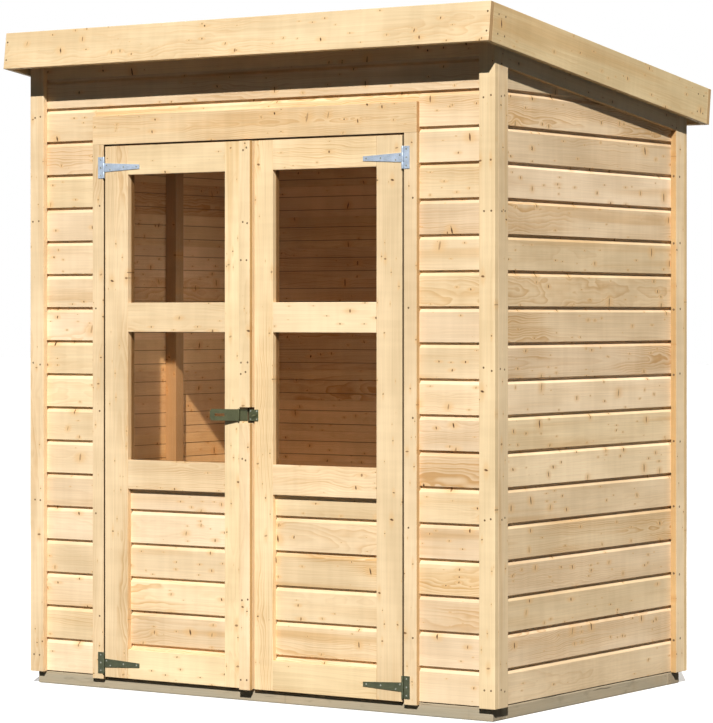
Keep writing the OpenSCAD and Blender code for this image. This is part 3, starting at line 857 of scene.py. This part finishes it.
# painted shade on the header's underside over the gap
soil(pile, 2, low.z, f["soil"])
shedTimber("door_header", pile, headerWood, "door_frame")

# eaves rails and purlins
deckFoot = roof["deckRise"]
for name in ("left_eaves_rail", "right_eaves_rail"):
    low, high, pile = begin(name)
    # the rail's narrow sides take the full darkening: painted shade on its foot
    stick(pile, (low.x, 0.0, deckFoot - roof["railHigh"]), (high.x, roof["long"], deckFoot), "y",
          roof["railEase"], slopeTurn, [(low, -axisY), (high, axisY)], roof["railEdge"])
    shedTimber(name, pile, trimWood, "trim")

low, high, pile = begin("purlins")
for n in (1, 2):
    y, side = n * roof["long"] / 3, roof["purlinWide"] / 2
    stick(pile, (low.x, y - side, deckFoot - roof["purlinHigh"]), (high.x, y + side, deckFoot), "x",
          roof["purlinEase"], slopeTurn)
timberPiece("purlins_sawn", pile, innerWood, "shed", "inner_timber", "purlins")

# roof boards, chamfered on the room's side
deck = {"count": 17, "gap": 0.0004, "chamfer": 0.003, "seed": 71}
low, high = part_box("roof_deck")
inset = roof["fasciaThick"]
deckPitch = (high.x - low.x) / deck["count"]
x0, x1 = low.x + deck["gap"], low.x + deckPitch - deck["gap"]
cut = deck["chamfer"]
outline = [
    (x0, cut), (x0 + cut, 0.0), (x1 - cut, 0.0), (x1, cut), (x1, roof["deckThick"]), (x0, roof["deckThick"]),
]
outline = [(x, deckFoot + z) for x, z in outline]
pile = newPile()
slab(pile, outline, "y", inset, roof["long"] - inset, "y", turn=slopeTurn, across="x")
piece = boardRun("roofBoards", pile, deck["count"], (deckPitch, 0.0, 0.0), deck["seed"], innerWood)
settle(piece, "shed", "inner_timber", "roof_deck")

# three courses of felt, each lapped over the one behind it
felt = {
    "courses": 3, "lap": 0.075, "thick": 0.0021, "lift": 0.0019, "edge": 0.0006, "rise": 0.02, "side": 0.0005,
}
bottom = deckFoot + roof["deckThick"]
cover = (roof["long"] - 2 * inset + (felt["courses"] - 1) * felt["lap"]) / felt["courses"]
pile = newPile()
for n in range(felt["courses"]):
    y0 = inset + n * (cover - felt["lap"])
    y1 = y0 + cover
    raised = bottom + (felt["lift"] if n < felt["courses"] - 1 else 0.0)
    lapped = y1 - felt["lap"]
    flat, thick, edge = lapped - felt["rise"], felt["thick"], felt["edge"]
    outline = [
        (y0, bottom), (flat, bottom), (lapped, raised), (y1, raised), (y1, raised + thick - edge),
        (y1 - edge, raised + thick), (lapped, raised + thick), (flat, bottom + thick), (y0, bottom + thick),
    ]
    slab(pile, outline, "x", low.x + felt["side"], high.x - felt["side"], "x", turn=slopeTurn)
timberPiece("feltCourses", pile, roofFelt, "shed", "felt", "roof_felt")

# fascia boards: near corner, far corner and grain on the slope
half, end = roof["wide"] / 2, roof["long"]
fascias = {
    "front_fascia": ((-half, 0.0), (half, inset), "x"),
    "rear_fascia": ((-half, end - inset), (half, end), "x"),
    "left_fascia": ((-half, inset), (inset - half, end - inset), "y"),
    "right_fascia": ((half - inset, inset), (half, end - inset), "y"),
}
for name, (near, far, grain) in fascias.items():
    pile = newPile()
    stick(pile, (*near, 0.0), (*far, roof["fasciaHigh"]), grain, roof["ease"], slopeTurn)
    shedTimber(name, pile, fasciaWood, "trim")
print("roof closed")

# door leaves: framed, two panes over a boarded panel
leaf = {
    "ease": 0.0016, "railHigh": 0.096, "railLows": (0.040, 0.665, 1.1825, 1.700), "top": 1.796,
    "panelLow": 0.136, "panelHigh": 0.665, "panelCount": 6, "panelSeed": {"left": 83, "right": 97},
    "notchLow": 0.892, "notchHigh": 0.942, "notchX": -0.01375, "notchEase": 0.001,
    "glassBack": 0.0195, "backShade": 0.62, "backRing": 0.0005, "backNear": 0.0002,
}


def hang(side, part, pile):
    # one part of a leaf's frame, with painted shade on its top in the gap under the header
    soil(pile, 2, leaf["top"], doorFrame["soil"])
    body = side + "_door"
    timberPiece(pieceName(side + "_" + part), pile, frameWood, body, "door_frame", body + "_" + part)


for side in ("left", "right"):
    body, atLeft = side + "_door", side == "left"
    low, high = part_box(body + "_hinge_stile")
    behind = low.y + leaf["glassBack"]
    rings = [(Vector((0, y, 0)), axisY) for y in (behind - leaf["backRing"], behind)]
    cut = {"edge": doorFrame["leafEdge"], "loops": rings}
    # painted shade on the frame's faces behind the glass
    dark = {"amount": leaf["backShade"], "behind": behind - leaf["backNear"]}
    outer, inner = (low.x, high.x) if atLeft else (high.x, low.x)
    pile = newPile()
    stick(pile, low, high, "z", leaf["ease"], **cut)
    # painted shade on the stile's outer face in the gap at the jamb
    soil(pile, 0, outer, doorFrame["soil"], low.y, doorFrame["soilDeep"])
    soil(pile, 0, inner, **dark)
    hang(side, "hinge_stile", pile)

    # the left meeting stile is notched for the staple's plate
    low, high, pile = begin(body + "_meeting_stile")
    if atLeft:
        notchX, notchLow, notchHigh = leaf["notchX"], leaf["notchLow"], leaf["notchHigh"]
        outline = [
            (low.x, low.z), (high.x, low.z), (high.x, notchLow), (notchX, notchLow),
            (notchX, notchHigh), (high.x, notchHigh), (high.x, high.z), (low.x, high.z),
        ]
        slab(pile, outline, "y", low.y, high.y, "z", leaf["notchEase"], across="x", **cut)
        # painted shade in the notch
        soil(pile, 0, notchX, doorFrame["soil"])
    else:
        stick(pile, low, high, "z", leaf["ease"], **cut)
    soil(pile, 0, low.x if atLeft else high.x, **dark)
    hang(side, "meeting_stile", pile)

    # painted shade on the rails behind the glass, over and under each pane
    low, high, pile = begin(body + "_rails")
    for z in leaf["railLows"]:
        stick(pile, (low.x, low.y, z), (high.x, high.y, z + leaf["railHigh"]), "x", leaf["ease"], **cut)
    for under, over in zip(leaf["railLows"][1:], leaf["railLows"][2:]):
        soil(pile, 2, over, **dark)
        soil(pile, 2, under + leaf["railHigh"], **dark)
    hang(side, "rails", pile)

    node = body + "_panel"
    low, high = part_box(node)
    cuts = [((0, 0, leaf["panelLow"]), -axisZ), ((0, 0, leaf["panelHigh"]), axisZ)]
    boardWall(side + "PanelBoards", node, standing(low.x, low.y, cladding["low"]), high.x - low.x,
              leaf["panelCount"], leaf["panelSeed"][side], body, cuts, kerf=False)
    panes = nodes[body + "_panes"]
    panes.data.materials.clear()
    panes.data.materials.append(paneGlass)

# cover strip in two lengths, above and below the hasp
# the strip's narrow sides take the full darkening, partly sawn wood and partly painted shade
strip = {"ease": 0.002, "edge": 1.0}
low, high, pile = begin("cover_strip")
stick(pile, low, (high.x, high.y, leaf["notchLow"]), "z", **strip)
stick(pile, (low.x, low.y, leaf["notchHigh"]), high, "z", **strip)
timberPiece("coverStrip", pile, frameWood, "left_door", "trim", "cover_strip")
print("doors hung")

# hinges, hasp and staple keep their CAD forms, with eased edges
ironwork = {
    "jamb_hinges": hingeZinc, "left_door_straps": hingeZinc, "right_door_straps": hingeZinc,
    "hasp": haspZinc, "staple": haspZinc,
}
ironEase = {"width": 0.0005, "segments": 2, "limit_method": "ANGLE", "angle_limit": math.radians(40)}
ironWeld = 0.00001
for name, finish in ironwork.items():
    part = nodes[name]
    part.data.materials.clear()
    part.data.materials.append(finish)
    part.modifiers.new("weld", "WELD").merge_threshold = ironWeld
    bevel = part.modifiers.new("ease", "BEVEL")
    for key, value in ironEase.items():
        setattr(bevel, key, value)

# the tree that sets screws and nails: a low head, with a cross in it where it has a width
headForm = {"sides": 14, "crown": 0.66, "armLong": 1.05, "armDeep": 0.9, "turn": 6.28}
fix = newGeometryTree("fixings", [
    ("Radius", "Float"), ("Height", "Float"), ("Cross", "Float"), ("Seed", "Int"), ("Finish", "Material"),
])
given = fix.given
radius, height, cross = given["Radius"], given["Height"], given["Cross"]
crown = fix.times(radius, headForm["crown"])
head = fix.add("GeometryNodeMeshCone", {
    "Vertices": headForm["sides"], "Radius Top": crown, "Radius Bottom": radius, "Depth": height,
}).outputs[0]
armLong, armDeep = fix.times(radius, headForm["armLong"]), fix.times(height, headForm["armDeep"])
arm = fix.add("GeometryNodeMeshCube", {"Size": fix.vec(armLong, cross, armDeep)}).outputs[0]
crossed = fix.add("GeometryNodeTransform", {"Geometry": arm, "Rotation": (0.0, 0.0, math.pi / 2)})
recess = fix.add("GeometryNodeMeshBoolean", operation="UNION", solver="EXACT")
for part in (arm, crossed):
    fix.feed(recess.inputs[1], part)
raised = fix.add("GeometryNodeTransform", {"Geometry": recess, "Translation": fix.vec(0.0, 0.0, height)})
slotted = fix.add("GeometryNodeMeshBoolean", {0: head, 1: raised}, operation="DIFFERENCE", solver="EXACT")
hasCross = fix.add("FunctionNodeCompare", {0: cross, 1: 0.0}, data_type="FLOAT", operation="GREATER_THAN")
ends = {"Switch": hasCross, "False": head, "True": slotted}
choose = fix.add("GeometryNodeSwitch", ends, input_type="GEOMETRY")
facing = fix.add("GeometryNodeInputNamedAttribute", {"Name": "facing"}, data_type="FLOAT_VECTOR")
upright = fix.add("FunctionNodeAlignRotationToVector", {"Vector": facing}, axis="Z")
seated = fix.add("GeometryNodeInstanceOnPoints", {
    "Points": given["Geometry"], "Instance": choose, "Rotation": upright,
})
turnDraw = fix.random("FLOAT", 0.0, headForm["turn"], given["Seed"])
turn = fix.vec(0.0, 0.0, turnDraw)
fix.close(fix.add("GeometryNodeRotateInstances", {"Instances": seated, "Rotation": turn}))


def fixings(name, spots, body, size, seed, finish):
    # spots are (point, direction that the head faces)
    mesh = bpy.data.meshes.new(name)
    mesh.from_pydata([point for point, way in spots], [], [])
    layer = mesh.attributes.new("facing", "FLOAT_VECTOR", "POINT")
    layer.data.foreach_set("vector", [part for point, way in spots for part in way])
    values = {key.title(): size[key] for key in ("radius", "height", "cross")}
    values.update(Seed=seed, Finish=finish)
    return settle(runTree(newObject(name, mesh), fix, values), body, "zinc")


front, rearward, leftward, rightward = (0, -1, 0), (0, 1, 0), (-1, 0, 0), (1, 0, 0)

# hinge screws: three on a jamb plate, four on a strap
hingeScrew = {
    "radius": 0.0030, "height": 0.0011, "cross": 0.0010, "plateAt": (-0.026, 0.0, 0.026), "plateIn": 0.0135,
    "strapAt": ((0.0105, 0.0075), (0.026, -0.0075), (0.082, 0.0), (0.136, 0.0)),
    "strapSeed": 5, "jambSeed": 6,
}
hinge = {"left": -0.60125, "right": 0.58075, "levels": (0.086, 1.726), "plateFace": -0.622145}
jambSpots = []
for side, out in (("left", -1), ("right", 1)):
    strapSpots = []
    plateX = hinge[side] + out * hingeScrew["plateIn"]
    for z in hinge["levels"]:
        for step, rise in hingeScrew["strapAt"]:
            strapSpots.append(((hinge[side] - out * step, hinge["plateFace"], z + rise), front))
        for step in hingeScrew["plateAt"]:
            jambSpots.append(((plateX, hinge["plateFace"], z + step), front))
    fixings(side + "StrapScrews", strapSpots, side + "_door", hingeScrew, hingeScrew["strapSeed"], screwZinc)
fixings("jambScrews", jambSpots, "shed", hingeScrew, hingeScrew["jambSeed"], screwZinc)

# screws of the staple's plate
plateScrew = {
    "radius": 0.0029, "height": 0.0010, "cross": 0.0009, "inset": 0.0055, "plateThick": 0.002, "seed": 7,
}
low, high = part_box("staple")
y, inset = high.y - plateScrew["plateThick"], plateScrew["inset"]
spots = [
    ((x, y, z), front)
    for x in (low.x + inset, high.x - inset)
    for z in (low.z + inset, high.z - inset)
]
fixings("stapleScrews", spots, "right_door", plateScrew, plateScrew["seed"], screwZinc)

# nails: rows through the corner boards, fascia ends, jambs and strip
nail = {
    "radius": 0.0033, "rearRadius": 0.0040, "height": 0.0003, "cross": 0.0, "inset": 0.016, "stray": 0.005,
    "frontRows": (0.094, 0.617, 1.073, 1.553, 1.902), "rearRows": [0.15 + 0.222 * n for n in range(9)],
    "sideSteps": (0.036, 0.060), "rearStep": 0.028, "rearIn": 0.009,
    "fasciaEnds": (0.05, 0.09), "fasciaRows": (0.03, 0.09), "fasciaIn": 0.0095,
    "jambIn": 0.022, "jambSway": 0.008, "jambLow": 0.24, "jambStep": 0.34, "jambCount": 5,
    "stripRows": (0.07, 0.324, 0.775, 1.053, 1.085, 1.417, 1.534, 1.769), "stripSteps": (0.012, 0.030),
    "frameSeed": 8, "stripSeed": 9, "rearSeed": 10,
}
spots, rearSpots = [], []


def stray():
    return draws.uniform(-nail["stray"], nail["stray"])


for name in cornerNodes:
    low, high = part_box(name)
    atFront, atLeft = "front" in name, "left" in name
    side, sideWay = (low.x, leftward) if atLeft else (high.x, rightward)
    face, faceWay = (low.y, front) if atFront else (high.y, rearward)
    for z in nail["frontRows"] if atFront else nail["rearRows"]:
        for x in (low.x + nail["inset"], high.x - nail["inset"]):
            spots.append(((x + stray(), face, z + stray()), faceWay))
        if atFront:
            spots += [((side, low.y + step + stray(), z + stray()), sideWay) for step in nail["sideSteps"]]
        else:
            rearSpots.append(((side, low.y + nail["rearStep"] + stray(), z + stray()), sideWay))
            rearSpots.append(((side - sideWay[0] * nail["rearIn"], low.y, z + stray()), front))
nearEnd, farEnd = nail["fasciaEnds"]
for x, way in ((-half, leftward), (half, rightward)):
    for y in (nearEnd, farEnd, roof["long"] - farEnd, roof["long"] - nearEnd):
        spots += [(slopeTurn @ Vector((x, y, z)), way) for z in nail["fasciaRows"]]
for y, way in ((0.0, -axisY), (roof["long"], axisY)):
    for x in (nail["fasciaIn"] - half, half - nail["fasciaIn"]):
        spots += [(slopeTurn @ Vector((x, y, z)), slopeTurn.to_3x3() @ way) for z in nail["fasciaRows"]]
for name in ("left_jamb", "right_jamb"):
    low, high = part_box(name)
    middle = low.x + nail["jambIn"] if name.startswith("left") else high.x - nail["jambIn"]
    for n in range(nail["jambCount"]):
        x, z = middle + (-1) ** n * nail["jambSway"], nail["jambLow"] + n * nail["jambStep"]
        spots.append(((x, low.y, z), front))
fixings("frameNails", spots, "shed", nail, nail["frameSeed"], nailSteel)
rearNail = dict(nail, radius=nail["rearRadius"])
fixings("rearNails", rearSpots, "shed", rearNail, nail["rearSeed"], nailSteel)
low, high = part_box("cover_strip")
spots = [
    ((low.x + step + stray(), low.y, z + stray()), front)
    for z in nail["stripRows"]
    for step in nail["stripSteps"]
]
fixings("stripNails", spots, "left_door", nail, nail["stripSeed"], nailSteel)
print("screws and nails set")


def aimed(way):
    return Vector(way).to_track_quat("-Z", "Y").to_euler()


# camera where the photograph's was, level, with the frame dropped below the horizon
cameraSpot = {
    "place": (5.7420, -8.5129, 1.2355), "aim": (-0.559988, 0.828502, 0.0), "focalPixels": 3046.446,
    "image": (713, 723), "horizon": 315.746, "sensor": 36.0, "clip": 200.0,
}
camera = newObject("camera", bpy.data.cameras.new("camera"))
camera.location = cameraSpot["place"]
camera.rotation_euler = aimed(cameraSpot["aim"])
longSide = max(cameraSpot["image"])
camera.data.sensor_width = cameraSpot["sensor"]
camera.data.lens = cameraSpot["sensor"] * cameraSpot["focalPixels"] / longSide
camera.data.shift_y = (cameraSpot["horizon"] - cameraSpot["image"][1] / 2) / longSide
camera.data.clip_end = cameraSpot["clip"]
scene.camera = camera

# light from the front right, soft fill all round
light = {
    "way": (-0.60, 1.0, -0.918), "strength": 5.15, "angle": 0.8, "tint": (1.0, 0.993, 0.965),
    "fill": 0.030, "fillTint": (0.85, 1.0, 1.06),
}
sun = newObject("keyLight", bpy.data.lights.new("keyLight", "SUN"))
sun.rotation_euler = aimed(light["way"])
sun.data.energy = light["strength"]
sun.data.angle = math.radians(light["angle"])
sun.data.color = light["tint"]

# soft lamps for the right side and the back, and weak ones in the room so that its walls show in the panes
lamps = {
    "sideFill": {
        "place": (4.0, 0.0, 7.8), "aim": (0.9, 0.0, 1.2), "size": 0.8, "power": 92.0,
        "tint": (1.0, 0.90, 0.70),
    },
    "backFill": {"place": (-3.6, 4.8, 4.2), "aim": (-0.2, 0.3, 1.0), "size": 2.5, "power": 300.0},
    "roomLow": {"place": (0.45, -0.25, 0.35), "aim": (-0.87, 0.25, 1.2), "size": 0.5, "power": 2.3},
    "roomSide": {
        "place": (0.75, 0.3, 1.3), "aim": (-0.877, 0.08, 1.22), "size": 0.2, "power": 0.24, "spread": 40,
    },
}
white = (1.0, 1.0, 1.0)
for name, look in lamps.items():
    lamp = newObject(name, bpy.data.lights.new(name, "AREA"))
    lamp.location = look["place"]
    lamp.rotation_euler = aimed(Vector(look["aim"]) - Vector(look["place"]))
    lamp.data.energy = look["power"]
    lamp.data.size = look["size"]
    lamp.data.spread = math.radians(look.get("spread", 180))
    lamp.data.color = look.get("tint", white)
    lamp.visible_camera = False


def seenDirectly(t):
    path = t.add("ShaderNodeLightPath").outputs
    seen = t.calc("MAXIMUM", path["Is Camera Ray"], path["Is Glossy Ray"])
    return t.calc("MAXIMUM", seen, path["Is Transmission Ray"])


world = bpy.data.worlds.new("studio")
world.use_nodes = True
scene.world = world
t = Sheet(world.node_tree)
fill = world.node_tree.nodes["Background"]
t.fill(fill, {0: rgba(light["fillTint"]), 1: light["fill"]})
backdrop = t.add("ShaderNodeBackground", {0: rgba(white), 1: 1.0})
seen = seenDirectly(t)
mixed = t.add("ShaderNodeMixShader", {0: seen, 1: fill, 2: backdrop})
t.finish("World", mixed)

# pale floor that keeps the shadow
floorLook = {
    "half": 60.0, "drop": -0.0005, "seen": (0.93, 0.93, 0.93), "bounce": (0.043, 0.052, 0.056), "lift": 0.16,
}
mesh = bpy.data.meshes.new("floor")
f = floorLook["half"]
mesh.from_pydata([(-f, -f, 0), (f, -f, 0), (f, f, 0), (-f, f, 0)], [], [(0, 1, 2, 3)])
floor = newObject("floor", mesh)
floor.location.z = floorLook["drop"]
floorPaper, t, shader = newMaterial("floorPaper")
t.tree.nodes.remove(shader)
seen = seenDirectly(t)
paper = t.blend(seen, floorLook["bounce"], floorLook["seen"])
matt = t.add("ShaderNodeBsdfDiffuse", {0: paper})
glow = t.add("ShaderNodeEmission", {0: rgba(white), 1: t.times(seen, floorLook["lift"])})
both = t.add("ShaderNodeAddShader", {0: matt, 1: glow})
t.finish("Material", both)
mesh.materials.append(floorPaper)
floor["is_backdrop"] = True
print("camera, light and floor ready")

low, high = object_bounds()
